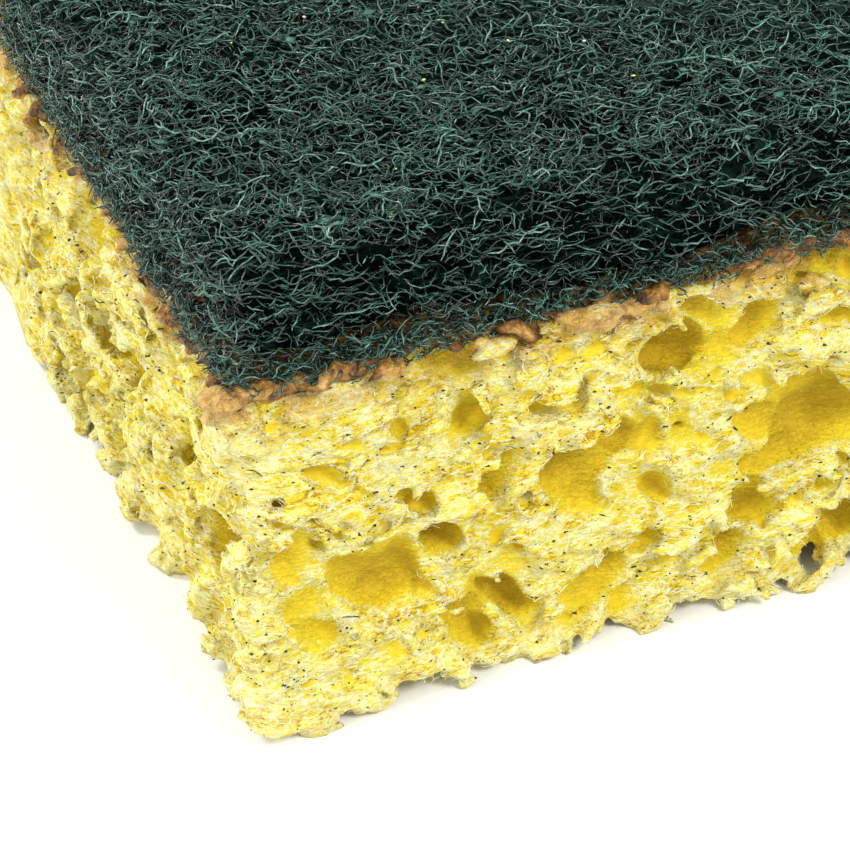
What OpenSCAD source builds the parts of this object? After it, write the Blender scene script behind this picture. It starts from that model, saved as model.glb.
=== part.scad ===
// Cleaning sponge: a porous cellulose block with a nonwoven scouring pad glued over its top face.
// It lies flat on the block, +Z up, with the origin at the middle of its base. Millimetres.

/* [Cellulose block] */
// Length of the block, along X
block_len = 155; // [120:1:190]
// Width of the block, along Y
block_wid = 92; // [70:1:115]
// Height of the block, along Z
block_h = 14; // [10:0.5:24]
// Radius of the block's four upright corners
corner_r = 0.8; // [0.4:0.1:3]

/* [Glue film] */
// Thickness of the hardened glue between the block and the pad
glue_h = 0.4; // [0.2:0.1:1]
// Setback of the glue's edge from the block's edge
glue_inset = 0.2; // [0.1:0.1:1]

/* [Scouring pad] */
// Thickness of the nonwoven pad
pad_h = 5; // [3:0.5:10]
// Setback of the pad's edge from the block's edge
pad_inset = 0.4; // [0.2:0.1:1.5]
// Rounding of the pad's worn top edge and corners
pad_edge_r = 1.2; // [0.4:0.1:2.5]

/* [Pores] */
// Spacing of the pores scattered over the four upright faces
side_pitch = 6.8; // [6.8:0.2:12]
// Spacing of the pores scattered over the base
base_pitch = 9.4; // [6.8:0.2:14]
// Radius of the smallest scattered pore
pore_r_min = 0.8; // [0.5:0.1:1.2]
// Radius of the largest scattered pore
pore_r_max = 2.3; // [1.3:0.1:2.4]
// Random seed of the scattered pores
pore_seed = 11; // [1:1:99]

/* [Hidden] */

// A pore's second lobe, as shares of its first lobe's radius, and the least radius that has one
lobe_r_share = 0.72;
lobe_reach_share = 0.75;
lobed_r_min = 1.2;
// How deep a scattered pore's centre lies, as shares of its radius
sunk_min_share = -0.15;
sunk_max_share = 0.45;
// The flat left in the middle of the base, where the part is held or measured
base_flat_r = 4;
// Random numbers that one scattered pore takes
draws = 5;

// Pores of the long face beside the near upright corner:
// [distance from the corner, height as a share of the block's height, radius, turn of the second lobe]
front_pores = [
    [5.2, 0.38, 1.6, 160], [3.3, 0.51, 0.5, 90], [7.9, 0.15, 1.0, 300], [5.4, 0.14, 0.9, 20],
    [7.1, 0.62, 0.6, 45], [9.8, 0.26, 0.7, 60], [10.3, 0.52, 0.6, 0], [12.2, 0.38, 0.8, 0],
    [13.6, 0.36, 0.6, 10], [15.7, 0.27, 0.6, 350], [14.8, 0.56, 1.0, 70], [17.1, 0.52, 0.8, 20],
    [18.0, 0.81, 1.0, 180], [21.4, 0.49, 1.9, 110], [12.2, 0.65, 0.7, 0], [1.6, 0.73, 0.6, 80],
    [12.4, 0.18, 1.2, 200], [18.9, 0.30, 0.5, 0], [8.6, 0.80, 0.5, 130], [21.0, 0.12, 1.1, 40],
];
// Pores of the short face beside the same corner, in the same form
side_pores = [
    [4.7, 0.42, 1.5, 100], [16.6, 0.81, 1.5, 90], [19.1, 0.39, 1.1, 0], [13.8, 0.52, 1.2, 20],
    [12.6, 0.13, 1.4, 10], [8.2, 0.70, 0.9, 80], [8.8, 0.25, 1.0, 200],
];
// Length of face that those hand-placed pores cover, and that scattered pores leave free
near_zone = 24.5;

glue_z = block_h;
pad_z = glue_z + glue_h;

// An upright prism with round corners, centred on the Z axis, set in from the block's outline
module inset_prism(inset, h) {
    r = max(corner_r - inset, 0.2);
    linear_extrude(h)
        union() {
            square([block_len - 2 * inset - 2 * r, block_wid - 2 * inset], center = true);
            square([block_len - 2 * inset, block_wid - 2 * inset - 2 * r], center = true);
            for (x = [-1, 1], y = [-1, 1])
                translate([x * (block_len / 2 - inset - r), y * (block_wid / 2 - inset - r)])
                    circle(r, $fn = 48);
        }
}

// One pore: a round hollow, and on all but the small ones a lobe beside it, turned about the
// face's normal (Z here)
module pore(r, turn) {
    sphere(r, $fn = 48);
    if (r >= lobed_r_min)
        rotate([0, 0, turn])
            translate([lobe_reach_share * r, 0, 0])
                sphere(lobe_r_share * r, $fn = 48);
}

// Pores scattered over a w by h rectangle in the XY plane, one to a cell, each sunk below Z = 0.
// Those under skip along X, and those within flat_r of the middle, are left out.
module scattered_pores(w, h, pitch, seed, skip = 0, flat_r = 0) {
    nx = floor(w / pitch);
    ny = max(1, floor(h / pitch));
    u = rands(0, 1, nx * ny * draws, seed);
    for (i = [0:nx - 1], j = [0:ny - 1]) {
        k = draws * (i * ny + j);
        r = pore_r_min + (pore_r_max - pore_r_min) * pow(u[k], 2);
        // the room for a shift, so that neighbouring pores stay apart
        room = max(0, pitch / 2 - r * (lobe_reach_share + lobe_r_share));
        x = (i + 0.5) * w / nx + room * (2 * u[k + 1] - 1);
        y = (j + 0.5) * h / ny + room * (2 * u[k + 2] - 1);
        sunk = r * (sunk_min_share + (sunk_max_share - sunk_min_share) * u[k + 3]);
        clear_of_flat = norm([x - w / 2, y - h / 2]) > flat_r + 2 * r;
        if (x > skip + 2 * r && (flat_r == 0 || clear_of_flat))
            translate([x, y, -sunk])
                pore(r, 360 * u[k + 4]);
    }
}

// The hand-placed pores of one face, in its own plane: X runs away from the near corner, Y is up
module placed_pores(list) {
    for (p = list)
        translate([p[0], p[1] * block_h, -0.2 * p[2]])
            pore(p[2], p[3]);
}

// Carries what is drawn in a face's own plane onto that face of the block
module on_front() translate([-block_len / 2, -block_wid / 2, 0]) rotate([90, 0, 0]) children();
module on_back() translate([block_len / 2, block_wid / 2, 0]) rotate([90, 0, 180]) children();
module on_left()
    translate([-block_len / 2, -block_wid / 2, 0])
        rotate([90, 0, -90])
            mirror([1, 0, 0])
                children();
module on_right() translate([block_len / 2, -block_wid / 2, 0]) rotate([90, 0, 90]) children();
module on_base() translate([-block_len / 2, block_wid / 2, 0]) rotate([180, 0, 0]) children();

module sponge_block() {
    color("gold")
        difference() {
            inset_prism(0, block_h);
            on_front() {
                placed_pores(front_pores);
                scattered_pores(block_len, block_h, side_pitch, pore_seed, skip = near_zone);
            }
            on_left() {
                placed_pores(side_pores);
                scattered_pores(block_wid, block_h, side_pitch, pore_seed + 1, skip = near_zone);
            }
            on_back() scattered_pores(block_len, block_h, side_pitch, pore_seed + 2);
            on_right() scattered_pores(block_wid, block_h, side_pitch, pore_seed + 3);
            on_base()
                scattered_pores(block_len, block_wid, base_pitch, pore_seed + 4, flat_r = base_flat_r);
        }
}

module glue_film() {
    color("peru")
        translate([0, 0, glue_z])
            inset_prism(glue_inset, glue_h);
}

// The pad is a slab with a soft top edge: a hull of upright posts capped with round corners
module scouring_pad() {
    r = min(pad_edge_r, pad_h / 2);
    post_x = block_len / 2 - pad_inset - r;
    post_y = block_wid / 2 - pad_inset - r;
    color("darkslategray")
        translate([0, 0, pad_z])
            hull()
                for (x = [-1, 1], y = [-1, 1])
                    translate([x * post_x, y * post_y, 0]) {
                        cylinder(h = pad_h - r, r = r, $fn = 32);
                        translate([0, 0, pad_h - r])
                            sphere(r, $fn = 32);
                    }
}

sponge_block();
glue_film();
scouring_pad();
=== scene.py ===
"""Looks of a cleaning sponge: a porous cellulose block with a nonwoven scouring pad glued on top.

Lengths in this script are millimetres, and become metres only when a mesh or a lamp is placed.
The near corner is the block's upright corner at its lowest X and Y. The camera looks at it from
close up, so the meshes are fine beside it and coarser over the rest of the sponge.
"""
import math

import bpy
import numpy as np
import openvdb
from mathutils import Matrix, Vector


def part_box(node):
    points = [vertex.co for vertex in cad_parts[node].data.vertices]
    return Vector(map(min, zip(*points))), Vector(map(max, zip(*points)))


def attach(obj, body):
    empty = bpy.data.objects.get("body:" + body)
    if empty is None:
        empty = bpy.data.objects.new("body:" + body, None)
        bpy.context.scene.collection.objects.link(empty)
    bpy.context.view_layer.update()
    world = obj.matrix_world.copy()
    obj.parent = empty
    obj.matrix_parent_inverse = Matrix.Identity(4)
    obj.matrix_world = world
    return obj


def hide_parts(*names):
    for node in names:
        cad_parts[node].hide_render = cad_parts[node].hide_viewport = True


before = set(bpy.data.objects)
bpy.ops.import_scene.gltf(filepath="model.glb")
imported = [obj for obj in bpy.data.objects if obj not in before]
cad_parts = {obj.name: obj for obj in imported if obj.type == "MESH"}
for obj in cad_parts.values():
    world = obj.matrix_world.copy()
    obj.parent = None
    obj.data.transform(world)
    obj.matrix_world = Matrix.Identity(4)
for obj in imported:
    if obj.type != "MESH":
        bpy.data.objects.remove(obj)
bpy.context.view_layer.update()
MM = 0.001

# ---- sizes, from the frame
BLOCK_LOW, BLOCK_HIGH = (np.array(corner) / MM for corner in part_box("sponge_block"))
GLUE_LOW, GLUE_HIGH = (np.array(corner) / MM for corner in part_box("glue_film"))
PAD_LOW, PAD_HIGH = (np.array(corner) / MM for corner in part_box("scouring_pad"))
NEAR_CORNER = np.array([BLOCK_LOW[0], BLOCK_LOW[1], 0.0])

# The part of the sponge beside the near corner that is meshed finely
NEAR_ZONE = np.array([25.0, 27.0])
SEAM_OVERLAP = 0.4  # how far the fine and coarse shells reach into each other
MARGIN = 0.8  # room that a fine grid keeps round what it holds
PAST_ALL = 5.0  # comfortably outside the sponge's lower faces
ABOVE_ALL = 40.0  # comfortably above its top


# ---- sample grids and noise
def seeded(name):
    """A random generator for each named thing, so that one can change without the others."""
    return np.random.default_rng([ord(letter) for letter in name])


class Grid:
    """A box of evenly spaced sample points."""

    def __init__(self, low, high, step):
        self.low = np.array(low, float)
        self.step = step
        self.count = [int(math.ceil((h - l) / step)) + 1 for l, h in zip(low, high)]
        self.axes = [
            (l + step * np.arange(n)).astype(np.float32) for l, n in zip(low, self.count)
        ]

    def spread(self):
        """The three axes, shaped to combine into full arrays."""
        x, y, z = self.axes
        return x[:, None, None], y[None, :, None], z[None, None, :]

    def sample(self, field, x, y, z):
        """The field's value at any places, blended from the eight samples round each."""
        whole, part = [], []
        for axis, place in enumerate((x, y, z)):
            cell = (place - self.low[axis]) / self.step
            cell = np.clip(cell, 0, self.count[axis] - 1.001).astype(np.float32)
            whole.append(cell.astype(np.int32))
            part.append(cell - whole[-1])
        flat = field.ravel()
        strides = (self.count[1] * self.count[2], self.count[2], 1)
        first = sum(w * s for w, s in zip(whole, strides))
        total = 0
        for corner in np.ndindex(2, 2, 2):
            weight = 1
            for up, share in zip(corner, part):
                weight = weight * (share if up else 1 - share)
            total = total + weight * flat[first + sum(u * s for u, s in zip(corner, strides))]
        return total


def hashed(i, j, k, seed):
    """A random number for each whole-numbered place, the same wherever it is asked for."""
    mixed = (
        (i.astype(np.uint32) * np.uint32(0x8DA6B343))[:, None, None]
        ^ (j.astype(np.uint32) * np.uint32(0xD8163841))[None, :, None]
        ^ (k.astype(np.uint32) * np.uint32(0xCB1AB31F))[None, None, :]
        ^ np.uint32((seed * 0x9E3779B9) & 0xFFFFFFFF)
    )
    for shift, factor in ((16, 0x7FEB352D), (15, 0x846CA68B)):
        mixed ^= mixed >> np.uint32(shift)
        mixed *= np.uint32(factor)
    mixed ^= mixed >> np.uint32(16)
    return (mixed.astype(np.float32) / 2**32 - 0.5) * math.sqrt(12)


def noise(grid, cell, seed, stretch=(1, 1, 1)):
    """Smooth noise of about unit spread, whose bumps are cell long, times stretch on each axis.

    Each use of it has a seed of its own.
    """
    places, shares = [], []
    for axis, longer in zip(grid.axes, stretch):
        u = axis / (cell * longer)
        whole = np.floor(u).astype(int)
        places.append(np.arange(whole[0] - 1, whole[-1] + 3))
        shares.append((whole - whole[0], (u - whole).astype(np.float32)))
    values = hashed(*places, seed)
    for axis, (first, t) in enumerate(shares):
        weights = (
            (1 - t) ** 3 / 6,
            (3 * t**3 - 6 * t**2 + 4) / 6,
            (-3 * t**3 + 3 * t**2 + 3 * t + 1) / 6,
            t**3 / 6,
        )
        shape = [1, 1, 1]
        shape[axis] = -1
        values = sum(
            np.take(values, first + n, axis=axis) * w.reshape(shape)
            for n, w in enumerate(weights)
        )
    return values * 3.0


def box_distance(grid, low, high, radius=0.0):
    """Signed distance to a box whose edges are rounded, negative inside."""
    middle, half = (low + high) / 2, (high - low) / 2 - radius
    away = [np.abs(a - m) - h for a, m, h in zip(grid.spread(), middle, half)]
    outside = np.sqrt(sum(np.maximum(a, 0) ** 2 for a in away))
    inside = np.minimum(np.maximum(np.maximum(away[0], away[1]), away[2]), 0)
    return (outside + inside - radius).astype(np.float32)


def blurred(field, width):
    """A box blur, width samples wide (an odd number), along all three axes."""
    half = width // 2
    for axis in range(3):
        room = [(0, 0)] * 3
        room[axis] = (half + 1, half)
        total = np.cumsum(np.pad(field, room, "edge"), axis=axis, dtype=np.float64)
        count = field.shape[axis]
        ahead = np.take(total, np.arange(width, width + count), axis=axis)
        behind = np.take(total, np.arange(count), axis=axis)
        field = ((ahead - behind) / width).astype(np.float32)
    return field


def ramped(value, low, high):
    """Nought below low, one above high, and a smooth rise between."""
    t = np.clip((value - low) / (high - low), 0, 1)
    return t * t * (3 - 2 * t)


# ---- meshes
def new_object(name, points, faces, scale=1.0):
    """A mesh object from points and one or more arrays of faces."""
    mesh = bpy.data.meshes.new(name)
    faces = [np.asarray(f, np.int32) for f in faces if len(f)]
    sizes = np.concatenate([np.full(len(f), f.shape[1], np.int32) for f in faces])
    mesh.vertices.add(len(points))
    mesh.vertices.foreach_set("co", (np.asarray(points) * scale).astype(np.float32).ravel())
    mesh.loops.add(int(sizes.sum()))
    mesh.loops.foreach_set("vertex_index", np.concatenate([f.ravel() for f in faces]))
    mesh.polygons.add(len(sizes))
    starts = np.concatenate([[0], np.cumsum(sizes)[:-1]]).astype(np.int32)
    mesh.polygons.foreach_set("loop_start", starts)
    mesh.update(calc_edges=True)
    made = bpy.data.objects.new(name, mesh)
    bpy.context.scene.collection.objects.link(made)
    return made


def points_of(obj, scale=1.0):
    """The points of an object's mesh, divided by a scale."""
    co = np.empty(len(obj.data.vertices) * 3, np.float32)
    obj.data.vertices.foreach_get("co", co)
    return co.reshape(-1, 3) / scale


def normals_of(obj):
    out = np.empty(len(obj.data.vertices) * 3, np.float32)
    obj.data.vertices.foreach_get("normal", out)
    return out.reshape(-1, 3)


def smooth_shaded(obj):
    obj.data.polygons.foreach_set("use_smooth", np.ones(len(obj.data.polygons), bool))


def set_points(obj, points):
    """Moves a mesh's points to places given in mm, and shades it smooth."""
    obj.data.vertices.foreach_set("co", (points * MM).astype(np.float32).ravel())
    obj.data.update()
    smooth_shaded(obj)


def store(obj, name, values):
    """Keeps one number a point, for the materials to read."""
    attribute = obj.data.attributes.new(name, "FLOAT", "POINT")
    attribute.data.foreach_set("value", np.asarray(values, np.float32))


def triangle_count(obj):
    return len(obj.data.loops) - 2 * len(obj.data.polygons)


def apply_modifiers(obj):
    """Puts the mesh that an object's modifiers make in place of its own."""
    graph = bpy.context.evaluated_depsgraph_get()
    mesh = bpy.data.meshes.new_from_object(obj.evaluated_get(graph), depsgraph=graph)
    obj.modifiers.clear()
    old, obj.data = obj.data, mesh
    bpy.data.meshes.remove(old)


def thin_out(obj, wanted, only=None):
    """Decimates a mesh to about that many triangles, or only the points that are marked."""
    have = triangle_count(obj)
    if have <= wanted:
        return
    modifier = obj.modifiers.new("thin_out", "DECIMATE")
    modifier.ratio = wanted / have
    if only is not None:
        group = obj.vertex_groups.new(name="may_go")
        group.add(np.flatnonzero(only).tolist(), 1.0, "REPLACE")
        modifier.vertex_group = group.name
    apply_modifiers(obj)
    obj.vertex_groups.clear()


def largest_part(points, faces):
    """Drops everything but the largest connected surface: loose crumbs and sealed hollows."""
    edges = np.concatenate([f[:, n : n + 2] for f in faces for n in range(f.shape[1] - 1)])
    label = np.arange(len(points))
    while True:
        a, b = label[edges[:, 0]], label[edges[:, 1]]
        apart = a != b
        if not apart.any():
            break
        a, b = a[apart], b[apart]
        label[np.maximum(a, b)] = np.minimum(a, b)
        while True:
            root = label[label]
            if np.array_equal(root, label):
                break
            label = root
        edges = edges[apart]
    chosen = label == np.bincount(label).argmax()
    moved = np.cumsum(chosen) - 1
    return points[chosen], [moved[f[chosen[f[:, 0]]]] for f in faces]


def surface_of(name, field, grid):
    """The surface where a field is nought, as a mesh object."""
    volume = openvdb.FloatGrid(float(field.max()))
    volume.copyFromArray(np.ascontiguousarray(field, np.float32))
    points, tris, quads = volume.convertToPolygons(isovalue=0.0, adaptivity=0.0)
    points = points.astype(float) * grid.step + grid.low
    faces = [f[:, ::-1].astype(np.int64) for f in (quads, tris) if len(f)]
    return new_object(name, *largest_part(points, faces))


HIDDEN_SHARE = 0.85  # share of the triangles on hidden faces that goes before any other


def near_and_far(name, near_field, near, far_field, far, near_wanted, far_wanted, hidden):
    """One mesh of two closed shells, fine inside the near zone and coarse outside it.

    Hidden says which points of the fine shell can't be seen, so that they are thinned out first.
    """
    low = np.array([*(BLOCK_LOW[:2] - PAST_ALL), -PAST_ALL])
    high = np.array([*(BLOCK_LOW[:2] + NEAR_ZONE), ABOVE_ALL])
    reach = np.array([SEAM_OVERLAP, SEAM_OVERLAP, 0])
    corner = surface_of(name, np.maximum(near_field, box_distance(near, low, high + reach)), near)
    rest = surface_of("rest", np.maximum(far_field, -box_distance(far, low, high)), far)
    unseen = hidden(points_of(corner))
    thin_out(corner, triangle_count(corner) * (1 - HIDDEN_SHARE * unseen.mean()), unseen)
    thin_out(corner, near_wanted)
    thin_out(rest, far_wanted)
    with bpy.context.temp_override(active_object=corner, selected_editable_objects=[corner, rest]):
        bpy.ops.object.join()
    return corner


# ---- the cellulose block
BLOCK_NEAR_STEP = 0.115
BLOCK_FAR_STEP = 0.42
BLOCK_NEAR_TRIANGLES = 140_000
BLOCK_FAR_TRIANGLES = 55_000
CAD_STEP = 0.3
CAD_BAND = 5  # samples each side of the surface that the CAD distance is right for
CAD_ROOM = 2.4  # room that its grid keeps round the block
SKIN = 0.9  # depth of the torn, fibrous skin on the cut faces
LONGEST_PORE = 1.6  # the most that a scattered pore is stretched
# Pores over this radius keep clear of the upright edges, and of the base's edges
EDGE_PORE = 0.42
EDGE_CLEARANCE = 2.2
BASE_CLEARANCE, BASE_INWARD = 1.3, 2.5
DIMPLE_COUNT = 310
# The tear in the base's edge: its depth, and where along the short face it deepens and ends
TEAR_DEPTH = 1.15
TEAR_START, TEAR_FULL = 4.0, 9.6
TEAR_STEP, TEAR_END = 10.4, 10.9


def cad_distance():
    """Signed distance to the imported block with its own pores, and the grid that holds it."""
    grid = Grid(BLOCK_LOW - CAD_ROOM, BLOCK_HIGH + CAD_ROOM, CAD_STEP)
    cad_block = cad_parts["sponge_block"]
    mesh = cad_block.data
    mesh.calc_loop_triangles()
    corners = np.empty(len(mesh.loop_triangles) * 3, np.int32)
    mesh.loop_triangles.foreach_get("vertices", corners)
    points = (points_of(cad_block, MM) - grid.low) / grid.step
    volume = openvdb.FloatGrid.createLevelSetFromPolygons(
        points.astype(np.float32),
        triangles=corners.reshape(-1, 3).astype(np.uint32),
        transform=openvdb.createLinearTransform(1.0),
        exBandWidth=CAD_BAND,
        inBandWidth=CAD_BAND,
    )
    field = np.empty(grid.count, np.float32)
    volume.copyToArray(field)
    return blurred(field * grid.step, 3), grid


def scattered_pores(name, per_mm3, smallest, largest, low, high, shell):
    """Pores at random under the faces of the block: centres, radii on three axes and turns.

    Shell is the depth under the faces that their centres reach.
    """
    rng = seeded(name)
    size = high - low
    count = int(per_mm3 * size.prod())
    centres = low + rng.random((count, 3)) * size
    from_faces = np.minimum(centres - BLOCK_LOW, BLOCK_HIGH - centres)[:, :2]
    inward = from_faces.min(axis=1)
    radius = smallest + (largest - smallest) * rng.random(count) ** 2.5
    stretch = 1 + (LONGEST_PORE - 1) * rng.random(count)
    radii = np.stack([radius * stretch, radius * stretch**0.5, radius / stretch**0.4], axis=1)
    turns = rng.uniform(-1, 1, (count, 3)) * np.array([0.5, 0.5, math.pi])
    beside_edge = from_faces.max(axis=1) < EDGE_CLEARANCE
    beside_edge |= (centres[:, 2] < BASE_CLEARANCE) & (inward < BASE_INWARD)
    kept = (np.minimum(inward, centres[:, 2]) < shell) & ~(beside_edge & (radius > EDGE_PORE))
    return centres[kept], radii[kept], turns[kept]


def turned(angles):
    """A rotation matrix from three angles, about X, Y and Z."""
    (a, p), (b, q), (c, r) = ((math.cos(t), math.sin(t)) for t in angles)
    about_x = np.array([[1, 0, 0], [0, a, -p], [0, p, a]])
    about_y = np.array([[b, 0, q], [0, 1, 0], [-q, 0, b]])
    about_z = np.array([[c, -r, 0], [r, c, 0], [0, 0, 1]])
    return about_x @ about_y @ about_z


def carve(field, grid, pores, drift, lip):
    """Opens each pore in the field, with its lip rounded over about so many mm.

    Drift moves the places asked, so that no pore is a clean egg.
    """
    last = np.array(grid.count)
    spread = grid.spread()
    for centre, radii, angles in zip(*pores):
        reach = radii.max() + 3 * grid.step
        first = np.maximum(np.floor((centre - reach - grid.low) / grid.step).astype(int), 0)
        end = np.minimum(np.ceil((centre + reach - grid.low) / grid.step).astype(int) + 1, last)
        if np.any(end - first < 2):
            continue
        part = tuple(slice(a, b) for a, b in zip(first, end))
        x = spread[0][part[0]] - centre[0] + drift[0][part]
        y = spread[1][:, part[1]] - centre[1] + drift[1][part]
        z = spread[2][:, :, part[2]] - centre[2] + drift[2][part]
        matrix = (turned(angles) / radii[:, None]).astype(np.float32)
        length = 0
        for row in matrix:
            length = length + (row[0] * x + row[1] * y + row[2] * z) ** 2
        hollow = (1 - np.sqrt(length)) * radii.min()
        overlap = np.maximum(lip - np.abs(field[part] - hollow), 0)
        field[part] = np.maximum(field[part], hollow) + overlap**2 / (4 * lip)


def shallow_dimples():
    """Bowls in the two near faces, whose centres lie in the air outside them."""
    rng = seeded("shallow_dimples")
    count = DIMPLE_COUNT
    along = 1.5 + rng.random(count) * (NEAR_ZONE[0] - 3)
    radius = 0.35 + 0.9 * rng.random(count) ** 1.6
    outward = -radius * rng.uniform(0.3, 0.75, count)
    on_front = rng.random(count) < 0.6
    level = np.where([on_front, ~on_front], along, outward).T
    centres = np.column_stack([level, rng.uniform(0.8, 14, count)])
    stretch = rng.uniform(0.8, 1.5, (count, 3))
    turns = rng.uniform(-1, 1, (count, 3)) * np.array([0.5, 0.5, 0.3])
    return centres + NEAR_CORNER, radius[:, None] * stretch, turns


def torn_base(grid):
    """Air where the base's edge is torn away beside the near corner, ending in a sharp step."""
    x, y, z = (axis - start for axis, start in zip(grid.spread(), NEAR_CORNER))
    depth = TEAR_DEPTH * ramped(y, TEAR_START, TEAR_FULL) * (1 - ramped(y, TEAR_STEP, TEAR_END))
    return (depth - x) * 0.8 - 0.35 * z


def warped_places(grid):
    """Where the CAD block is read for each sample, steadier at its faces, and the pores' drift."""
    places, drift = [], []
    for n, axis in enumerate(grid.spread()):
        warp = 0.28 * noise(grid, 2.2, 20 + n) + 0.16 * noise(grid, 0.8, 30 + n)
        from_face = np.minimum(axis - BLOCK_LOW[n], BLOCK_HIGH[n] - axis)
        places.append(axis + warp * (0.3 + 0.7 * ramped(from_face, 0, 1.6)))
        drift.append(0.7 * warp)
    return places, drift


def torn_skin(grid, plain):
    """Roughness of the torn faces. It fades to the plain one before the coarse shell begins."""
    x, y, z = grid.spread()
    skin = np.clip(1 + box_distance(grid, BLOCK_LOW, BLOCK_HIGH + [0, 0, PAST_ALL]) / SKIN, 0, 1)
    edge = 1 - ramped(np.maximum(x - BLOCK_LOW[0], y - BLOCK_LOW[1]), 0.3, 1.6)
    rim = ramped(z, BLOCK_HIGH[2] - 1.2, BLOCK_HIGH[2] - 0.2)
    rough = 0.085 * noise(grid, 0.5, 3, (1.6, 1.6, 0.8))
    rough += 0.060 * noise(grid, 0.26, 4, (1.5, 1.5, 0.8))
    rough += 0.090 * noise(grid, 1.1, 6)
    into_far = np.maximum(x - BLOCK_LOW[0] - NEAR_ZONE[0], y - BLOCK_LOW[1] - NEAR_ZONE[1])
    faded = ramped(into_far, -4.0, -0.5)
    return (1 - faded) * rough * skin * (1 + 1.5 * edge + rim) + faded * plain


def block_field(grid, cad, cad_grid, fine):
    """The solid of the cellulose block on a grid: negative in the matter, positive in the air."""
    places, drift = warped_places(grid)
    field = cad_grid.sample(cad, *places)
    np.maximum(field, torn_base(grid), out=field)
    middling = scattered_pores("middling", 0.75, 0.25, 0.95, BLOCK_LOW, BLOCK_HIGH, 0.9)
    carve(field, grid, middling, drift, 0.16)
    plain = 0.06 * noise(grid, 1.0, 5)
    if fine:
        low, high = BLOCK_LOW - 0.3, np.array([*(BLOCK_LOW[:2] + NEAR_ZONE - 1), BLOCK_HIGH[2]])
        small = scattered_pores("small", 16.0, 0.13, 0.42, low, high, 0.28)
        carve(field, grid, small, drift, 0.08)
        carve(field, grid, shallow_dimples(), drift, 0.12)
        field += torn_skin(grid, plain)
    else:
        field += plain
    return np.maximum(field, -grid.spread()[2])


def crowding(field, grid, width_mm):
    """How much matter surrounds each sample: about a half on a flat face, more in a hollow."""
    width = max(3, int(round(width_mm / grid.step)) | 1)
    matter = np.clip(0.5 - field / grid.step, 0, 1)
    return blurred(blurred(matter, width), width)


def make_block():
    """The visible cellulose block, and the fine field and grid that its wisps will follow."""
    reach = NEAR_ZONE + SEAM_OVERLAP + MARGIN
    top = BLOCK_HIGH[2] + MARGIN
    near = Grid(BLOCK_LOW - MARGIN, [*(BLOCK_LOW[:2] + reach), top], BLOCK_NEAR_STEP)
    far = Grid(BLOCK_LOW - 2 * BLOCK_FAR_STEP, BLOCK_HIGH + 2 * BLOCK_FAR_STEP, BLOCK_FAR_STEP)
    cad, cad_grid = cad_distance()
    near_field = block_field(near, cad, cad_grid, True)
    far_field = block_field(far, cad, cad_grid, False)

    def hidden(points):
        deep = np.min(points[:, :2] - BLOCK_LOW[:2], axis=1) > 3.0
        return deep | (points[:, 2] > BLOCK_HIGH[2] - 0.25) | (points[:, 2] < 0.25)

    block = near_and_far(
        "cellulose_block", near_field, near, far_field, far,
        BLOCK_NEAR_TRIANGLES, BLOCK_FAR_TRIANGLES, hidden,
    )
    points = points_of(block)
    in_near = np.all(points[:, :2] < BLOCK_LOW[:2] + NEAR_ZONE, axis=1)
    for name, width in (("crowd_small", 0.5), ("crowd_large", 2.0)):
        near_value = near.sample(crowding(near_field, near, width), *points.T)
        far_value = far.sample(crowding(far_field, far, width), *points.T)
        store(block, name, np.where(in_near, near_value, far_value))
    inward = np.minimum(points - BLOCK_LOW, BLOCK_HIGH - points)[:, :2]
    inward = np.sort(np.column_stack([inward, points[:, 2]]), axis=1)
    store(block, "depth", inward[:, 0])
    store(block, "edge", 1 - ramped(inward[:, 1], 0.4, 2.0))
    set_points(block, points)
    return block, near_field, near


# ---- tubes, for fibres
TUBE_SIDES = 3


def tubes(name, lines, kept, radii):
    """Closed tubes along lines, and the line that each of their points belongs to.

    Kept says how many points of each line to use, from its start.
    """
    sides = TUBE_SIDES
    good = kept >= 2
    lines, kept, radii = lines[good], kept[good], radii[good]
    count, longest, _ = lines.shape
    ways = np.gradient(lines, axis=1)
    ways /= np.linalg.norm(ways, axis=2, keepdims=True) + 1e-9
    across = np.cross(ways, [0.13, 0.05, 0.99])
    across /= np.linalg.norm(across, axis=2, keepdims=True) + 1e-9
    over = np.cross(across, ways)
    angles = (2 * math.pi * np.arange(sides) / sides)[None, None, :, None]
    ring = across[:, :, None] * np.cos(angles) + over[:, :, None] * np.sin(angles)
    place = np.arange(longest)[None, :] / np.maximum(kept - 1, 1)[:, None]
    slim = 1 - 0.6 * np.clip(np.abs(2 * place - 1), 0, 1) ** 6
    points = lines[:, :, None, :] + ring * (radii[:, None] * slim)[:, :, None, None]
    index = np.arange(count * longest * sides).reshape(count, longest, sides)
    used = np.arange(longest - 1)[None, :] < (kept - 1)[:, None]
    a, b = index[:, :-1][used], index[:, 1:][used]
    quads = np.stack([a, np.roll(a, -1, axis=1), np.roll(b, -1, axis=1), b], axis=2)
    quads = quads.reshape(-1, 4)
    first = index[:, 0, ::-1]
    last = index[np.arange(count), kept - 1]
    whole = np.unique(np.concatenate([quads.ravel(), first.ravel(), last.ravel()]))
    lookup = np.full(count * longest * sides, -1)
    lookup[whole] = np.arange(len(whole))
    faces = [lookup[quads], lookup[first], lookup[last]]
    made = new_object(name, points.reshape(-1, 3)[whole], faces, MM)
    smooth_shaded(made)
    return made, whole // (longest * sides)


# ---- wisps on the block
WISP_COUNT = 2400
WISP_STEP = 0.11
FRIZZ_COUNT = 5000
# What lies on the fine shell, and on the coarse one, keeps this far from the seam between them
NEAR_CLEARANCE, FAR_CLEARANCE = 0.8, 0.6


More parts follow.
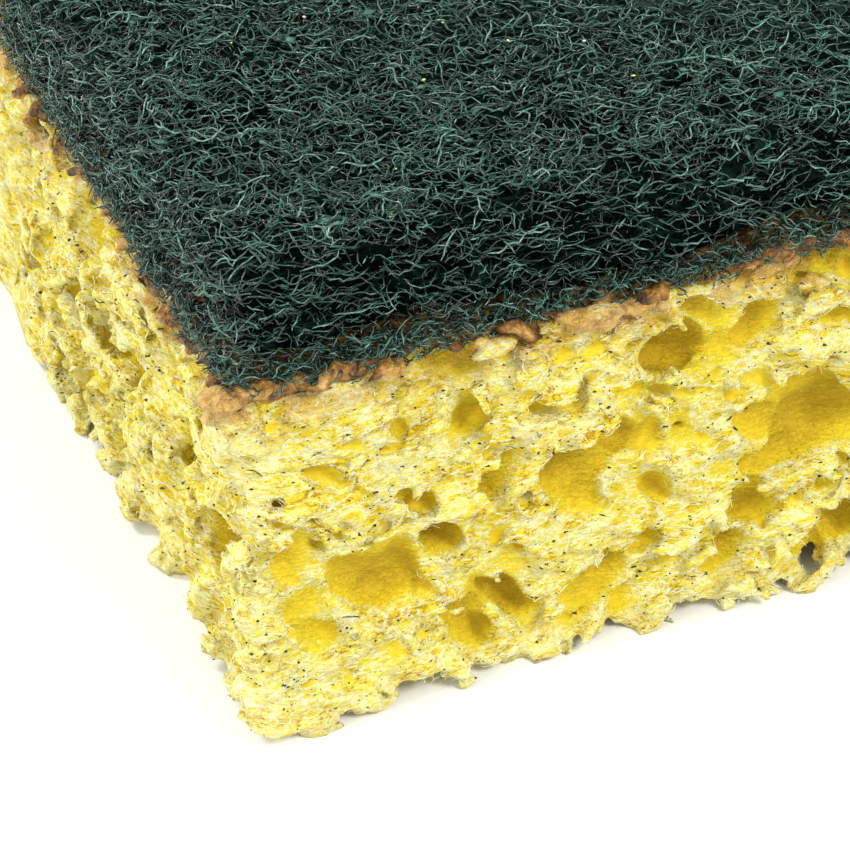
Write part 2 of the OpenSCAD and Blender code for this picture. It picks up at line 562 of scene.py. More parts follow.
def slope_of(field, grid, places):
    """Which way a field rises at each place, as unit vectors."""
    reach = 1.2 * grid.step
    out = np.empty_like(places)
    for axis in range(3):
        shift = np.zeros(3)
        shift[axis] = reach
        ahead = grid.sample(field, *(places + shift).T)
        out[:, axis] = ahead - grid.sample(field, *(places - shift).T)
    return out / (np.linalg.norm(out, axis=1, keepdims=True) + 1e-9)


def face_places(block, rng, count, crowd_wanted, crowd_spread, near=True):
    """Random points on the torn side faces, clear of the shells' seam, and their normals.

    They lie where the crowding is about what is wanted, give or take its spread.
    """
    points = points_of(block, MM)
    crowd = np.empty(len(points), np.float32)
    block.data.attributes["crowd_small"].data.foreach_get("value", crowd)
    inward = np.minimum(points - BLOCK_LOW, BLOCK_HIGH - points)[:, :2].min(axis=1)
    past = (points[:, :2] - BLOCK_LOW[:2] - NEAR_ZONE).max(axis=1)
    wanted = past < -NEAR_CLEARANCE if near else past > FAR_CLEARANCE
    chance = np.exp(-(((crowd - crowd_wanted) / crowd_spread) ** 2)) * (inward < 0.8)
    chance *= (points[:, 2] < BLOCK_HIGH[2] - 0.3) & (points[:, 2] > 0.2) & wanted
    chosen = rng.choice(len(points), count, p=chance / chance.sum())
    return points[chosen].astype(float), normals_of(block)[chosen]


def make_wisps(name, block, field, grid, count, steps, thickness):
    """Thin fibrils that lie along the torn faces and bridge the lips of the small pores."""
    rng = seeded(name)
    starts, _ = face_places(block, rng, count, 0.36, 0.12)
    on_front = (starts[:, 1] - BLOCK_LOW[1]) < (starts[:, 0] - BLOCK_LOW[0])
    along = np.where(on_front[:, None], [1.0, 0.0, 0.0], [0.0, 1.0, 0.0])
    way = along * rng.choice([-1, 1], (count, 1))
    way += rng.normal(0, 0.6, (count, 1)) * np.array([0, 0, 1.0]) + rng.normal(0, 0.3, (count, 3))
    line = [starts]
    lift = 0.01 + 0.05 * rng.random(count)
    for _ in range(steps):
        slope = slope_of(field, grid, line[-1])
        way = way - 0.8 * (way * slope).sum(axis=1, keepdims=True) * slope
        way += rng.normal(0, 0.3, way.shape)
        way /= np.linalg.norm(way, axis=1, keepdims=True)
        place = line[-1] + way * WISP_STEP
        over = grid.sample(field, *place.T) - lift
        place = place - 0.55 * over[:, None] * slope_of(field, grid, place)
        line.append(place)
    lines = np.stack(line, axis=1)
    kept = rng.integers(3, steps + 2, count)
    radii = thickness / 2 * rng.uniform(0.6, 1.3, count)
    made, line_of = tubes(name, lines, kept, radii)
    store(made, "tone", rng.random(count)[line_of])
    return made


def make_frizz(block):
    """Short torn ends that stand out of the near faces at all angles."""
    rng = seeded("frizz")
    places, outward = face_places(block, rng, FRIZZ_COUNT, 0.42, 0.16)
    way = 0.55 * outward + rng.normal(0, 0.6, places.shape)
    way /= np.linalg.norm(way, axis=1, keepdims=True)
    length = 0.10 + 0.26 * rng.random((FRIZZ_COUNT, 1)) ** 2
    roots = places - 0.03 * outward
    lines = np.stack([roots, roots + way * length], axis=1)
    radii = rng.uniform(0.018, 0.036, FRIZZ_COUNT)
    made, line_of = tubes("cellulose_frizz", lines, np.full(FRIZZ_COUNT, 2), radii)
    store(made, "tone", 0.3 + 0.7 * rng.random(FRIZZ_COUNT)[line_of])
    return made


# ---- grains and crumbs
def make_grains(name, rng, places, radii, stretch):
    """Small angular grains, one at each place. Stretch is their usual length on each axis."""
    shape = np.array([(1, 0, 0), (0, 1, 0), (-1, 0, 0), (0, -1, 0), (0, 0, 1), (0, 0, -1)])
    around = [(0, 1), (1, 2), (2, 3), (3, 0)]
    faces = np.array([(a, b, 4) for a, b in around] + [(b, a, 5) for a, b in around])
    count = len(places)
    sides = rng.uniform(0.6, 1.2, (count, 1, 3)) * np.array(stretch)
    lumpy = shape[None] * rng.uniform(0.7, 1.25, (count, len(shape), 1)) * sides
    angle = rng.uniform(0, 2 * math.pi, count)[:, None]
    x, y, z = np.moveaxis(lumpy, 2, 0)
    turned_x = x * np.cos(angle) - y * np.sin(angle)
    turned_y = x * np.sin(angle) + y * np.cos(angle)
    spun = np.stack([turned_x, turned_y, z], axis=2)
    points = places[:, None, :] + spun * radii[:, None, None]
    shifted = faces[None] + (len(shape) * np.arange(count))[:, None, None]
    made = new_object(name, points.reshape(-1, 3), [shifted.reshape(-1, 3)], MM)
    store(made, "tone", np.repeat(rng.random(count), len(shape)))
    return made


def make_specks(block):
    """Dark abrasive dust from the pad, caught on the block's torn faces."""
    rng = seeded("specks")
    near, near_up = face_places(block, rng, 3000, 0.5, 0.25)
    far, far_up = face_places(block, rng, 500, 0.5, 0.25, near=False)
    near_radii = 0.034 + 0.055 * rng.random(len(near)) ** 3
    radii = np.concatenate([near_radii, rng.uniform(0.03, 0.06, len(far))])
    places = np.concatenate([near, far]) + 0.4 * radii[:, None] * np.concatenate([near_up, far_up])
    return make_grains("abrasive_specks", rng, places, radii, (1.5, 1.5, 0.8))


def on_pad(rng, count, low, high, deepest):
    """Random places just under the pad's top face."""
    places = low + rng.random((count, 3)) * (np.array(high) - low)
    places[:, 2] = PAD_HIGH[2] - deepest * rng.random(count)
    return places


def make_bits(name, seed, near_count, near_deepest, far_count, far_deepest, sizes, stretch):
    """Bits on the pad's top face, closer together beside the near corner."""
    rng = seeded(seed)
    near = on_pad(rng, near_count, PAD_NEAR_LOW, PAD_NEAR_HIGH, near_deepest)
    far = on_pad(rng, far_count, PAD_LOW, PAD_HIGH, far_deepest)
    places = np.concatenate([near, far])
    return make_grains(name, rng, places, rng.uniform(*sizes, len(places)), stretch)


# ---- fibres of the pad
PAD_EDGE_R = 1.2
FUZZ = 0.25  # how far the loose fibres stand out of the pad's sides
FOOT = 0.75  # how far they hang below its bottom face, over the glue
# Where the fine fibres start
PAD_NEAR_LOW = PAD_LOW - [FUZZ, FUZZ, 0.6 * FOOT]
PAD_NEAR_HIGH = [PAD_LOW[0] + 38, PAD_LOW[1] + 33, PAD_HIGH[2]]
# How far from the near corner, along X and Y, fine fibres give way to coarse ones, and how sharply
FADE_X, FADE_Y, FADE_RATE = 35, 30, 10
# The waves in a fibre: each one's usual length, and its share of the bend
WAVES = ((1.1, 1.0), (3.5, 0.5))
COARSE_STEP = 0.35  # steps longer than this stretch the waves with them


def crimped_lines(rng, starts, headings, step, steps, bend, kink, rise):
    """Lines that wander at random: an array of (line, point, 3).

    Bend is the usual turn per mm, kink the usual sudden turn at a point, and rise the usual slope.
    """
    count = len(starts)
    along = 2 * math.pi * (np.arange(steps) * step)
    longer = max(1, step / COARSE_STEP)
    turn = rng.normal(0, kink / step, (count, steps))
    for wave, share in WAVES:
        phase = rng.uniform(0, 2 * math.pi, (count, 1))
        length = wave * rng.uniform(0.6, 1.6, (count, 1)) * longer
        turn += share * rng.normal(0, bend, (count, 1)) * np.sin(along / length + phase)
    heading = headings[:, None] + np.cumsum(turn, axis=1) * step
    phase = rng.uniform(0, 2 * math.pi, (count, 1))
    length = rng.uniform(0.9, 3, (count, 1)) * longer
    slope = rng.normal(0, 0.6 * rise, (count, 1)) + rise * np.sin(along / length + phase)
    slope += rng.normal(0, 0.5 * rise, (count, steps))
    level = np.cos(slope)
    way = np.stack([np.cos(heading) * level, np.sin(heading) * level, np.sin(slope)], axis=2)
    line = starts[:, None, :] + np.cumsum(way, axis=1) * step
    return np.concatenate([starts[:, None, :], line], axis=1)


def pad_distance(points):
    """Signed distance to the pad's rounded top and sides, negative inside.

    The pad's base is taken to be far below, so that fibres can hang over the glue.
    """
    low, high = PAD_LOW - [FUZZ, FUZZ, 6], PAD_HIGH + [FUZZ, FUZZ, 0]
    middle, half = (low + high) / 2, (high - low) / 2 - PAD_EDGE_R
    away = np.abs(points - middle) - half
    below = points[..., 2] < middle[2]
    away[..., 2] = np.where(below, away[..., 2] - PAD_EDGE_R, away[..., 2])
    outside = np.linalg.norm(np.maximum(away, 0), axis=-1)
    return outside + np.minimum(away.max(axis=-1), 0) - PAD_EDGE_R


def nearness(points):
    """One beside the near corner, falling to nought beyond what is meshed finely."""
    away = (points[:, 0] - NEAR_CORNER[0]) / FADE_X + (points[:, 1] - NEAR_CORNER[1]) / FADE_Y
    return 1 / (1 + np.exp((away - 1) * FADE_RATE))


def make_fibres(
    name, amount, low, high, step, steps, thickness, bend, kink, rise, skin, deepest, near
):
    """One bundle of the pad's fibres, with their starts in a box, as one piece.

    Amount is how many are tried. Fewer start the deeper one looks: skin is the depth that leaves
    a third of them, and deepest the depth that leaves none.
    """
    rng = seeded(name)
    low, high = np.array(low), np.array(high)
    starts = low + rng.random((amount, 3)) * (high - low)
    depth = -pad_distance(starts)
    chance = np.exp(-np.maximum(depth, 0) / skin) * (depth > 0) * (depth < deepest)
    chance *= nearness(starts) if near else 1 - nearness(starts)
    starts = starts[rng.random(amount) < chance]
    count = len(starts)
    headings = rng.normal(0, 0.8, count) + math.pi * (rng.random(count) < 0.5)
    lines = crimped_lines(rng, starts, headings, step, steps, bend, kink, rise)
    slack = rng.random(count) ** 3 * 0.35
    foot = PAD_LOW[2] - FOOT * rng.random(count)
    out = (pad_distance(lines) > slack[:, None]) | (lines[:, :, 2] < foot[:, None])
    kept = np.where(out.any(axis=1), out.argmax(axis=1), lines.shape[1])
    radii = thickness / 2 * rng.uniform(0.75, 1.25, count)
    made, line_of = tubes(name, lines, kept, radii)
    store(made, "tone", rng.random(count)[line_of])
    store(made, "depth", -pad_distance(points_of(made, MM)))
    return made


# ---- core of the pad, and the glue
CORE_STEP = 0.6
CORE_TRIANGLES = 26_000
CORE_INSET = 0.3
CORE_SINK = 0.4  # how much deeper it lies under the fine fibres of the near zone
GLUE_NEAR_STEP = 0.14
GLUE_FAR_STEP = 0.45
GLUE_SOAK = 0.02  # how far the glue has soaked into the block below and the web above
GLUE_SETBACK = 0.3  # how far the rim between the lumps lies behind the edge of the glue
GLUE_LUMPS = 130
GLUE_NEAR_TRIANGLES = 27_000
GLUE_FAR_TRIANGLES = 12_000


def make_core():
    """The depth of the web, under the loose fibres of its faces, coloured near black as painted shade.
    """
    grid = Grid(PAD_LOW - 1, PAD_HIGH + 1, CORE_STEP)
    low = PAD_LOW + [CORE_INSET, CORE_INSET, -0.1]
    high = PAD_HIGH - CORE_INSET
    x, y, _ = grid.spread()
    near = nearness(np.stack(np.broadcast_arrays(x, y, 0 * x), axis=-1).reshape(-1, 3))
    near = near.reshape(x.shape[0], y.shape[1], 1).astype(np.float32)
    field = box_distance(grid, low, high, 0.9) + 0.16 * noise(grid, 1.8, 50) + CORE_SINK * near
    core = surface_of("pad_core", field, grid)
    thin_out(core, CORE_TRIANGLES)
    store(core, "away", 1 - nearness(points_of(core)))
    set_points(core, points_of(core))
    return core


def glue_field(grid, lumps):
    """The hardened glue: a soaked-in slab whose rim runs out in drips and lumps."""
    low = GLUE_LOW + [GLUE_SETBACK, GLUE_SETBACK, -GLUE_SOAK]
    high = GLUE_HIGH + [-GLUE_SETBACK, -GLUE_SETBACK, GLUE_SOAK]
    field = box_distance(grid, low, high, 0.15)
    field += 0.11 * noise(grid, 1.4, 60, (1, 1, 0.7)) + 0.09 * noise(grid, 0.42, 61)
    air = -field
    carve(air, grid, lumps, [0.12 * noise(grid, 0.5, 62 + n) for n in range(3)], 0.1)
    return -air


def glue_lumps():
    """Lumps of glue along the rim of the near corner, as centres, radii and turns."""
    rng = seeded("lumps")
    count = GLUE_LUMPS
    along = rng.random(count) ** 1.3 * NEAR_ZONE[0]
    on_front = rng.random(count) < 0.6
    inward = rng.uniform(-0.15, 0.25, count)
    level = np.where([on_front, ~on_front], along, inward).T
    height = rng.uniform(GLUE_LOW[2] - 0.15, GLUE_HIGH[2], count)
    centres = np.column_stack([level + GLUE_LOW[:2], height])
    radii = (0.09 + 0.22 * rng.random((count, 1)) ** 2) * [1.5, 1.5, 0.8]
    return centres, radii, rng.uniform(-1, 1, (count, 3)) * [0.3, 0.3, math.pi]


def make_glue():
    """The glue film and its lumps, as one piece."""
    reach = NEAR_ZONE + SEAM_OVERLAP + MARGIN
    room = np.array([1.0, 1.0, GLUE_SOAK + 0.6])
    near = Grid(GLUE_LOW - room, [*(BLOCK_LOW[:2] + reach), GLUE_HIGH[2] + room[2]], GLUE_NEAR_STEP)
    far = Grid(GLUE_LOW - room, GLUE_HIGH + room, GLUE_FAR_STEP)
    lumps = glue_lumps()

    def hidden(points):
        return np.min(points[:, :2] - GLUE_LOW[:2], axis=1) > 1.0

    glue = near_and_far(
        "glue_amber", glue_field(near, lumps), near, glue_field(far, lumps), far,
        GLUE_NEAR_TRIANGLES, GLUE_FAR_TRIANGLES, hidden,
    )
    set_points(glue, points_of(glue))
    return glue


# ---- material helpers
def set_inputs(tree, made, inputs):
    """Sets a node's inputs, each to a number or colour, or to the socket that feeds it."""
    for key, value in inputs.items():
        if isinstance(value, bpy.types.NodeSocket):
            tree.links.new(value, made.inputs[key])
        else:
            made.inputs[key].default_value = value


def node(tree, kind, inputs=(), **settings):
    made = tree.nodes.new(kind)
    for key, value in settings.items():
        setattr(made, key, value)
    set_inputs(tree, made, dict(inputs))
    return made


def blank_material(name):
    material = bpy.data.materials.new(name)
    material.use_nodes = True
    tree = material.node_tree
    return material, tree, tree.nodes["Principled BSDF"]


def ramp(tree, value, stops):
    """A colour for each value, from (place, colour) stops."""
    made = node(tree, "ShaderNodeValToRGB", {"Fac": value})
    elements = made.color_ramp.elements
    while len(elements) < len(stops):
        elements.new(0.5)
    for element, (place, colour) in zip(elements, stops):
        element.position = place
        element.color = (*colour, 1)
    return made.outputs["Color"]


def attribute(tree, name):
    return node(tree, "ShaderNodeAttribute", attribute_name=name).outputs["Fac"]


def maths(tree, operation, *values, clamp=False):
    made = node(tree, "ShaderNodeMath", dict(enumerate(values)), operation=operation, use_clamp=clamp)
    return made.outputs[0]


def scaled(tree, value, factor, offset=0.0):
    return maths(tree, "MULTIPLY_ADD", value, factor, offset)


def smooth_step(tree, value, low, high):
    """Nought below low, one above high, or the other way round if low is the larger."""
    inputs = {"Value": value, "From Min": low, "From Max": high}
    made = node(tree, "ShaderNodeMapRange", inputs, interpolation_type="SMOOTHSTEP")
    return made.outputs["Result"]


def cell_places(tree, size, stretch, shift):
    """The object's own coordinates, moved by shift and counted in cells of that size in mm."""
    place = node(tree, "ShaderNodeTexCoord").outputs["Object"]
    if shift is not None:
        place = node(tree, "ShaderNodeVectorMath", {0: place, 1: shift}, operation="ADD").outputs[0]
    scale = [1 / (size * MM * s) for s in stretch]
    return node(tree, "ShaderNodeMapping", {"Vector": place, "Scale": scale}).outputs["Vector"]


def swirled(tree, places, scale, detail, sway):
    """Places pushed about by a noise, so that the cells round them aren't straight-sided."""
    inputs = {"Vector": places, "Scale": scale, "Detail": detail}
    swirl = node(tree, "ShaderNodeTexNoise", inputs).outputs["Color"]
    inputs = {0: swirl, 1: (sway, sway, sway), 2: places}
    return node(tree, "ShaderNodeVectorMath", inputs, operation="MULTIPLY_ADD").outputs[0]


def texture_noise(tree, size, detail=3.0, rough=0.55, stretch=(1, 1, 1), distort=0.0, shift=None):
    """Noise over the object's own coordinates. Size is in mm, and shift moves the places asked."""
    inputs = {
        "Vector": cell_places(tree, size, stretch, shift),
        "Scale": 1.0,
        "Detail": detail,
        "Roughness": rough,
        "Distortion": distort,
    }
    return node(tree, "ShaderNodeTexNoise", inputs).outputs["Fac"]


def mixed(tree, factor, a, b):
    """Colour a where factor is nought, and colour b where it is one."""
    made = node(tree, "ShaderNodeMix", data_type="RGBA")
    for index, value in ((0, factor), (6, a), (7, b)):
        if isinstance(value, bpy.types.NodeSocket):
            tree.links.new(value, made.inputs[index])
        else:
            made.inputs[index].default_value = (*value, 1) if index else value
    return made.outputs[2]


def bumped(tree, shader, height, distance):
    """Bump on a shader from a height, whose full range stands for a distance in mm."""
    inputs = {"Height": height, "Strength": 1.0, "Distance": distance * MM}
    bump = node(tree, "ShaderNodeBump", inputs)
    tree.links.new(bump.outputs["Normal"], shader.inputs["Normal"])


# ---- materials
WHITISH = (0.85, 0.83, 0.52)
CREAM = (0.86, 0.78, 0.18)
YELLOW = (0.82, 0.67, 0.025)
# Painted shade: the two golds below stand for the darker, deeper yellow inside hollows.
SHADED_GOLD = (0.74, 0.54, 0.014)
DEEPER_SHADED_GOLD = (0.55, 0.37, 0.010)
# Painted shade of tiny crevices, at the dark end of the torn faces' noise.
CREVICE_SHADE = (0.40, 0.20, 0.012)
TAN = (0.62, 0.36, 0.11)
STAIN = (0.33, 0.12, 0.015)
SOAK_DEPTH = 1.9  # how far down the block the glue's stain reaches


def web_lines(tree, size, width, stretch, shift, sway):
    """Thin lines that meet in a net, as one on a line and nought off it: the walls between cells."""
    places = swirled(tree, cell_places(tree, size, stretch, shift), 1.1, 2.0, sway)
    inputs = {"Vector": places, "Scale": 1.0}
    cells = node(tree, "ShaderNodeTexVoronoi", inputs, feature="DISTANCE_TO_EDGE")
    return smooth_step(tree, cells.outputs["Distance"], width, width * 0.3)


def bubbles(tree, size, stretch, shift):
    """Small scattered hollows of many sizes: above nought inside one, and most at its middle."""
    places = swirled(tree, cell_places(tree, size, stretch, shift), 2.0, 1.0, 0.5)
    cells = node(tree, "ShaderNodeTexVoronoi", {"Vector": places, "Scale": 1.0})
    chance = node(tree, "ShaderNodeSeparateColor", {0: cells.outputs["Color"]}).outputs[0]
    radius = scaled(tree, chance, 0.70, -0.20)
    return maths(tree, "SUBTRACT", radius, cells.outputs["Distance"])


def lace(tree, streaks, cloud, bubble, drift):
    """Where the pale walls between cells show on the torn faces, and the rims of the bubbles."""
    coarse = web_lines(tree, 0.55, 0.085, (1.9, 1.9, 0.9), drift, 1.1)
    coarse = maths(tree, "MULTIPLY", coarse, smooth_step(tree, streaks, 0.36, 0.50))
    fine = web_lines(tree, 0.24, 0.11, (1.6, 1.6, 0.9), drift, 1.0)
    fine = maths(tree, "MULTIPLY", fine, smooth_step(tree, cloud, 0.36, 0.60))
    walls = maths(tree, "MAXIMUM", coarse, scaled(tree, fine, 0.75))
    walls = maths(tree, "MULTIPLY", walls, smooth_step(tree, bubble, 0.15, 0.0))
    outer, inner = smooth_step(tree, bubble, -0.16, -0.02), smooth_step(tree, bubble, 0.10, 0.0)
    rims = maths(tree, "MULTIPLY", outer, inner)
    walls = maths(tree, "MAXIMUM", walls, scaled(tree, rims, 0.8))
    edge = maths(tree, "MULTIPLY", attribute(tree, "edge"), smooth_step(tree, streaks, 0.40, 0.55))
    return maths(tree, "MAXIMUM", walls, scaled(tree, edge, 0.5))


def torn_face(tree, fuzz, streaks, cloud, drift):
    """Colour of the torn faces: yellow fibres with small bubbles painted gold as shade, under pale lace.
    """
    # The dark, golden end of this ramp paints the shade of tiny crevices.
    stops = [(0.24, CREVICE_SHADE), (0.35, SHADED_GOLD), (0.49, YELLOW), (0.67, CREAM), (0.85, WHITISH)]
    bubble = bubbles(tree, 0.66, (1.5, 1.5, 0.8), drift)
    # Painted shade: the painted bubbles are filled with gold.
    golden = scaled(tree, smooth_step(tree, bubble, 0.0, 0.35), 0.85)
    face = mixed(tree, golden, ramp(tree, fuzz, stops), SHADED_GOLD)
    pale = scaled(tree, lace(tree, streaks, cloud, bubble, drift), 0.85)
    return mixed(tree, pale, face, WHITISH)


def glue_stained(tree, colour):
    """A colour with tan patches where glue has soaked in, thickest just under the pad."""
    place = node(tree, "ShaderNodeTexCoord").outputs["Object"]
    height = node(tree, "ShaderNodeSeparateXYZ", {0: place}).outputs["Z"]
    top = BLOCK_HIGH[2] * MM
    soak = smooth_step(tree, height, top - SOAK_DEPTH * MM, top)
    patches = smooth_step(tree, texture_noise(tree, 1.6, 4.0, 0.65), 0.38, 0.53)
    soak = maths(tree, "MULTIPLY", soak, patches)
    stain = ramp(tree, texture_noise(tree, 0.4, 4.0, 0.65), [(0.40, STAIN), (0.58, TAN)])
    return mixed(tree, scaled(tree, soak, 0.85), colour, stain)


def cellulose():
    """Pale torn membranes round pores whose deeper gold is painted shade, stained by the glue just under
    the pad.
    """
    material, tree, shader = blank_material("cellulose")
    crowd, wide = attribute(tree, "crowd_small"), attribute(tree, "crowd_large")
    drift = node(tree, "ShaderNodeCombineXYZ", {"Z": scaled(tree, wide, 2.2 * MM)}).outputs[0]
    streaks = texture_noise(tree, 0.13, 3.0, 0.72, (1.9, 1.9, 1.0), 0.6, drift)
    cloud = texture_noise(tree, 0.9, 2.0, 0.6, (1.4, 1.4, 0.8), 0.0, drift)
    fuzz = maths(tree, "ADD", scaled(tree, streaks, 1.3, -0.65), scaled(tree, cloud, 0.9, 0.05))
    face = torn_face(tree, fuzz, streaks, cloud, drift)
    # Painted shade: points in hollows, judged by how crowded the matter round them is, and points deeper
    # under the faces are coloured a darker gold.
    pit_shade = maths(tree, "ADD", scaled(tree, crowd, 0.6), scaled(tree, wide, 0.4))
    pit_shade = smooth_step(tree, pit_shade, 0.50, 0.82)
    deep = scaled(tree, smooth_step(tree, attribute(tree, "depth"), 0.35, 1.6), 0.85)
    hollow = maths(tree, "MAXIMUM", deep, pit_shade)
    hollow = maths(tree, "ADD", hollow, scaled(tree, fuzz, -0.5, 0.24), clamp=True)
    hollow_shade_colour = ramp(tree, hollow, [(0.20, YELLOW), (0.55, SHADED_GOLD), (0.90, DEEPER_SHADED_GOLD)])
    colour = mixed(tree, smooth_step(tree, hollow, 0.08, 0.36), face, hollow_shade_colour)
    inputs = {
        "Base Color": glue_stained(tree, colour),
        "Roughness": 0.7,
        "Specular IOR Level": 0.3,
        "Subsurface Weight": 0.22,
        "Subsurface Radius": (1.0, 0.75, 0.2),
        "Subsurface Scale": 0.8 * MM,
    }
    set_inputs(tree, shader, inputs)
    open_face = scaled(tree, smooth_step(tree, crowd, 0.5, 0.75), -0.9, 1.0)
    bumped(tree, shader, maths(tree, "MULTIPLY", streaks, open_face), 0.30)
    return material


def wisp_pale():
    """Single torn fibrils, nearly white."""
    material, tree, shader = blank_material("wisp_pale")
    along = scaled(tree, texture_noise(tree, 0.4), 0.3)
    tone = maths(tree, "ADD", scaled(tree, attribute(tree, "tone"), 0.7), along)
    colour = ramp(tree, tone, [(0.1, CREAM), (0.6, WHITISH), (0.95, (0.90, 0.90, 0.74))])
    set_inputs(tree, shader, {"Base Color": colour, "Roughness": 0.6})
    return material


def fibre_green():
    """Nylon fibre coated with dark green resin and fine abrasive, with painted glints and painted shade
    on the deeper fibres.
    """
    material, tree, shader = blank_material("fibre_green")
    tone = attribute(tree, "tone")
    # Noise for abrasive grains on the fibres; its light spots are also painted glints.
    grain_and_glint = texture_noise(tree, 0.16, 1.0)
    value = maths(tree, "ADD", scaled(tree, tone, 0.6), scaled(tree, grain_and_glint, 0.5, -0.02))
    # Painted shade: fibres that lie deeper in the pad are coloured darker.
    sunk_shade = smooth_step(tree, attribute(tree, "depth"), 0.05, 0.65)
    value = maths(tree, "ADD", value, scaled(tree, sunk_shade, -0.32))
    # The top stop, which few fibres reach, is a painted glint.
    stops = [
        (0.05, (0.002, 0.006, 0.004)),
        (0.42, (0.012, 0.047, 0.031)),
        (0.72, (0.050, 0.150, 0.106)),
        (0.86, (0.185, 0.320, 0.250)),
    ]
    inputs = {"Base Color": ramp(tree, value, stops), "Roughness": 0.26, "Specular IOR Level": 0.7}
    set_inputs(tree, shader, inputs)
    return material


def pad_core_shade_and_felt():
    """The depth of the web: near black as painted shade, crossed by the thin lines of fibres further in.
    """
    material, tree, shader = blank_material("pad_core_shade_and_felt")
    lines = 0.0
    for number, stretch in enumerate(((3.5, 1.0, 1.4), (1.0, 2.6, 1.4), (2.4, 2.0, 0.8))):
        shift = (0.013 * number, 0.007 * number, 0.003 * number)
        layer = web_lines(tree, 0.5, 0.11, stretch, shift, 1.2)
        lines = maths(tree, "MAXIMUM", lines, scaled(tree, layer, 1.0 - 0.25 * number))
    tone = maths(tree, "MULTIPLY", lines, smooth_step(tree, texture_noise(tree, 1.5), 0.2, 0.75))
    # Painted shade: the web's depth is coloured near black.
    stops = [(0.0, (0.0004, 0.0013, 0.0010)), (0.5, (0.002, 0.007, 0.005)), (1.0, (0.008, 0.026, 0.018))]
    deep = ramp(tree, tone, stops)
    felt = maths(tree, "MULTIPLY", lines, texture_noise(tree, 3.0, 4.0, 0.6, (2.0, 1.0, 1.0)))
    stops = [(0.0, (0.002, 0.006, 0.004)), (0.25, (0.012, 0.030, 0.023)), (0.6, (0.085, 0.150, 0.118))]
    colour = mixed(tree, attribute(tree, "away"), deep, ramp(tree, felt, stops))
    inputs = {"Base Color": colour, "Roughness": 0.8, "Specular IOR Level": 0.02}
    set_inputs(tree, shader, inputs)
    bumped(tree, shader, felt, 0.5)
    return material


def amber_glue():
    """Hardened glue: brown where it is thick, tan and crusty where it is thin."""
    material, tree, shader = blank_material("amber_glue")
    stops = [
        (0.36, (0.030, 0.010, 0.002)),
        (0.47, (0.160, 0.066, 0.008)),
        (0.58, (0.400, 0.190, 0.024)),
        (0.72, (0.680, 0.460, 0.170)),
    ]
    cloud = texture_noise(tree, 0.7, 5.0, 0.68)
    set_inputs(tree, shader, {"Base Color": ramp(tree, cloud, stops), "Roughness": 0.4})
    bumped(tree, shader, texture_noise(tree, 0.14, 3.0, 0.65), 0.15)
    return material


def speck_dark():
    """Abrasive grains, black to bottle green."""
    material, tree, shader = blank_material("speck_dark")
    stops = [(0.0, (0.002, 0.005, 0.004)), (0.7, (0.006, 0.018, 0.016)), (1.0, (0.020, 0.060, 0.060))]
    colour = ramp(tree, attribute(tree, "tone"), stops)
    set_inputs(tree, shader, {"Base Color": colour, "Roughness": 0.5})
    bumped(tree, shader, texture_noise(tree, 0.03, 2.0), 0.02)
    return material


def resin_teal():
    """Blobs of the resin that binds the web."""
    material, tree, shader = blank_material("resin_teal")
    stops = [(0.3, (0.020, 0.070, 0.052)), (0.7, (0.070, 0.200, 0.155))]
    colour = ramp(tree, texture_noise(tree, 0.2, 3.0), stops)
    set_inputs(tree, shader, {"Base Color": colour, "Roughness": 0.35})
    bumped(tree, shader, texture_noise(tree, 0.08, 2.0), 0.05)
    return material


def pale_floor():
    material, tree, shader = blank_material("pale_floor")
    set_inputs(tree, shader, {"Base Color": (0.9, 0.9, 0.9, 1), "Roughness": 0.7})
    return material


# ---- camera, lights, floor
CAMERA_FROM_CORNER = (-29.74, -104.57, 88.68)
CAMERA_YAW, CAMERA_PITCH, CAMERA_ROLL = (math.radians(a) for a in (19.26, 34.86, -3.8))
CAMERA_LENS, SENSOR = 171.7, 36.0
# Each light's place from the near corner and its width, both in metres, and its power in watts
LIGHTS = {
    "key": ((0.16, -0.34, 0.38), 0.16, 1.95),
    "side": ((-0.40, -0.10, 0.22), 0.3, 0.9),
    "back": ((-0.22, 0.30, 0.34), 0.12, 1.3),
}
WORLD_LIGHT = 0.8
FLOOR_SIZE = 6  # metres


def make_camera():
    """Looks down at the near corner from close by, a little rolled."""
    data = bpy.data.cameras.new("camera")
    data.lens, data.sensor_width = CAMERA_LENS, SENSOR
    data.clip_start, data.clip_end = 0.005, 20
    camera = bpy.data.objects.new("camera", data)
    bpy.context.scene.collection.objects.link(camera)
    level = math.cos(CAMERA_PITCH)
    ahead = Vector(
        (math.sin(CAMERA_YAW) * level, math.cos(CAMERA_YAW) * level, -math.sin(CAMERA_PITCH))
    )
    right = ahead.cross(Vector((0, 0, 1))).normalized()
    up = right.cross(ahead)
    rolled_right = math.cos(CAMERA_ROLL) * right + math.sin(CAMERA_ROLL) * up
    rolled_up = math.cos(CAMERA_ROLL) * up - math.sin(CAMERA_ROLL) * right
    place = Matrix((rolled_right, rolled_up, -ahead)).transposed().to_4x4()
    place.translation = (Vector(NEAR_CORNER) + Vector(CAMERA_FROM_CORNER)) * MM
    camera.matrix_world = place
    bpy.context.scene.camera = camera


def area_light(name, from_corner, size, power):
    """A round lamp that faces the near corner."""
    data = bpy.data.lights.new(name, "AREA")
    data.shape, data.size, data.energy = "DISK", size, power
    light = bpy.data.objects.new(name, data)
    corner = Vector(NEAR_CORNER) * MM
    light.location = corner + Vector(from_corner)
    light.rotation_euler = (corner - light.location).to_track_quat("-Z", "Y").to_euler()
    bpy.context.scene.collection.objects.link(light)


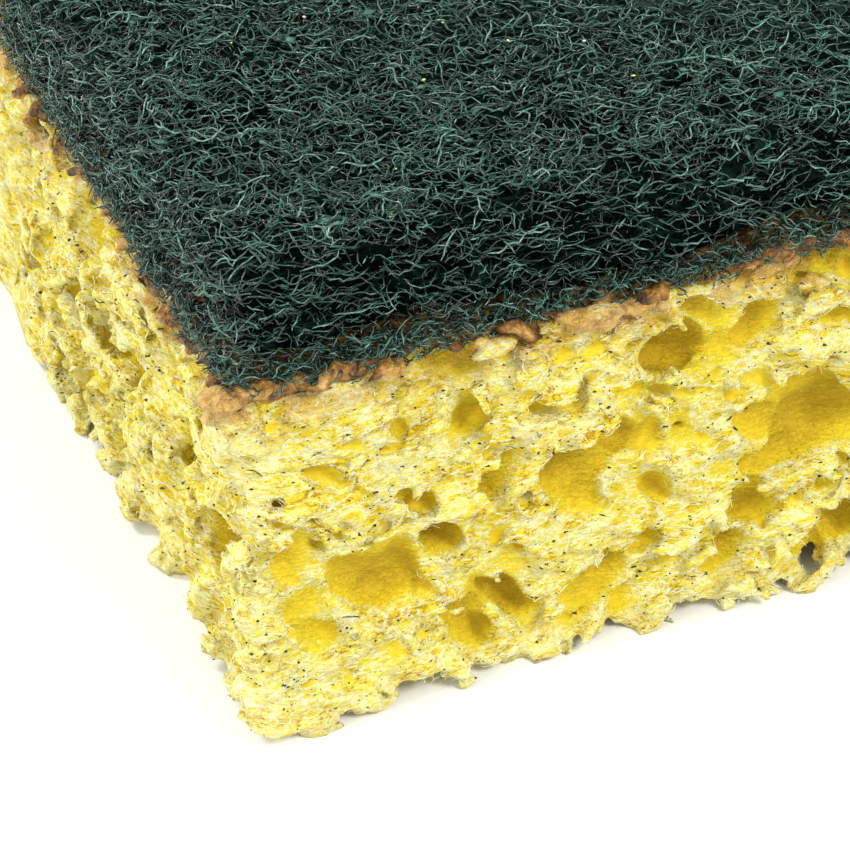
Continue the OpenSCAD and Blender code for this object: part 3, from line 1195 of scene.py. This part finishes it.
def make_studio():
    """The floor, the lights and the way that their colours are shown."""
    bpy.ops.mesh.primitive_plane_add(size=FLOOR_SIZE)
    floor = bpy.context.active_object
    floor.name = "floor"
    floor.data.materials.append(pale_floor())
    world = bpy.data.worlds.new("world")
    bpy.context.scene.world = world
    world.use_nodes = True
    background = world.node_tree.nodes["Background"]
    background.inputs["Color"].default_value = (1, 1, 1, 1)
    background.inputs["Strength"].default_value = WORLD_LIGHT
    for name, light in LIGHTS.items():
        area_light(name, *light)
    bpy.context.scene.view_settings.view_transform = "Standard"


# ---- the object
def finish_piece(piece, material, slot, *replaced):
    """Gives a piece its material and body, and hides the CAD solid that it stands for. The slot is not
    used.
    """
    piece.data.materials.clear()
    piece.data.materials.append(material)
    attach(piece, "root")
    if replaced:
        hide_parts(*replaced)


make_camera()
make_studio()

block, block_near_field, block_near_grid = make_block()
finish_piece(block, cellulose(), "cellulose", "sponge_block")
where = (block, block_near_field, block_near_grid)
wisps = make_wisps("cellulose_wisps", *where, WISP_COUNT, steps=5, thickness=0.034)
finish_piece(wisps, wisp_pale(), "cellulose")
finish_piece(make_frizz(block), wisp_pale(), "cellulose")
dark = speck_dark()
stray = make_wisps("stray_fibres", *where, 26, steps=8, thickness=0.045)
finish_piece(stray, dark, "scouring_web")
finish_piece(make_specks(block), dark, "scouring_web")

green = fibre_green()
for number in range(4):
    bundle = make_fibres(
        f"pad_fibres_near_{number}", 83_500, PAD_NEAR_LOW, PAD_NEAR_HIGH, step=0.2, steps=8,
        thickness=0.062, bend=1.8, kink=0.42, rise=0.42, skin=0.33, deepest=0.9, near=True,
    )
    finish_piece(bundle, green, "scouring_web")
fringe_low = PAD_LOW - [FUZZ, FUZZ, FOOT]
fringe_sizes = {"front": [30, 0.7, FOOT + 0.6], "left": [0.7, 30, FOOT + 0.6]}
for side, size in fringe_sizes.items():
    bundle = make_fibres(
        f"pad_fringe_{side}", 2200, fringe_low, fringe_low + size, step=0.17, steps=6,
        thickness=0.062, bend=3.0, kink=0.5, rise=0.55, skin=2.0, deepest=2.0, near=True,
    )
    finish_piece(bundle, green, "scouring_web")
bundle = make_fibres(
    "pad_fibres_far", 28_000, PAD_NEAR_LOW, PAD_HIGH, step=0.9, steps=8,
    thickness=0.17, bend=0.9, kink=0.3, rise=0.28, skin=0.5, deepest=1.1, near=False,
)
finish_piece(bundle, green, "scouring_web")
core = make_core()
finish_piece(core, pad_core_shade_and_felt(), "scouring_web", "scouring_pad")
finish_piece(make_glue(), amber_glue(), "glue", "glue_film")

resin = make_bits("resin_blobs", "resin", 90, 0.35, 500, 0.3, (0.08, 0.22), (1.8, 1.3, 0.35))
finish_piece(resin, resin_teal(), "scouring_web")
crumbs = make_bits("cellulose_crumbs", "crumbs", 22, 0.5, 160, 0.2, (0.04, 0.09), (1.5, 1, 0.8))
finish_piece(crumbs, wisp_pale(), "cellulose")
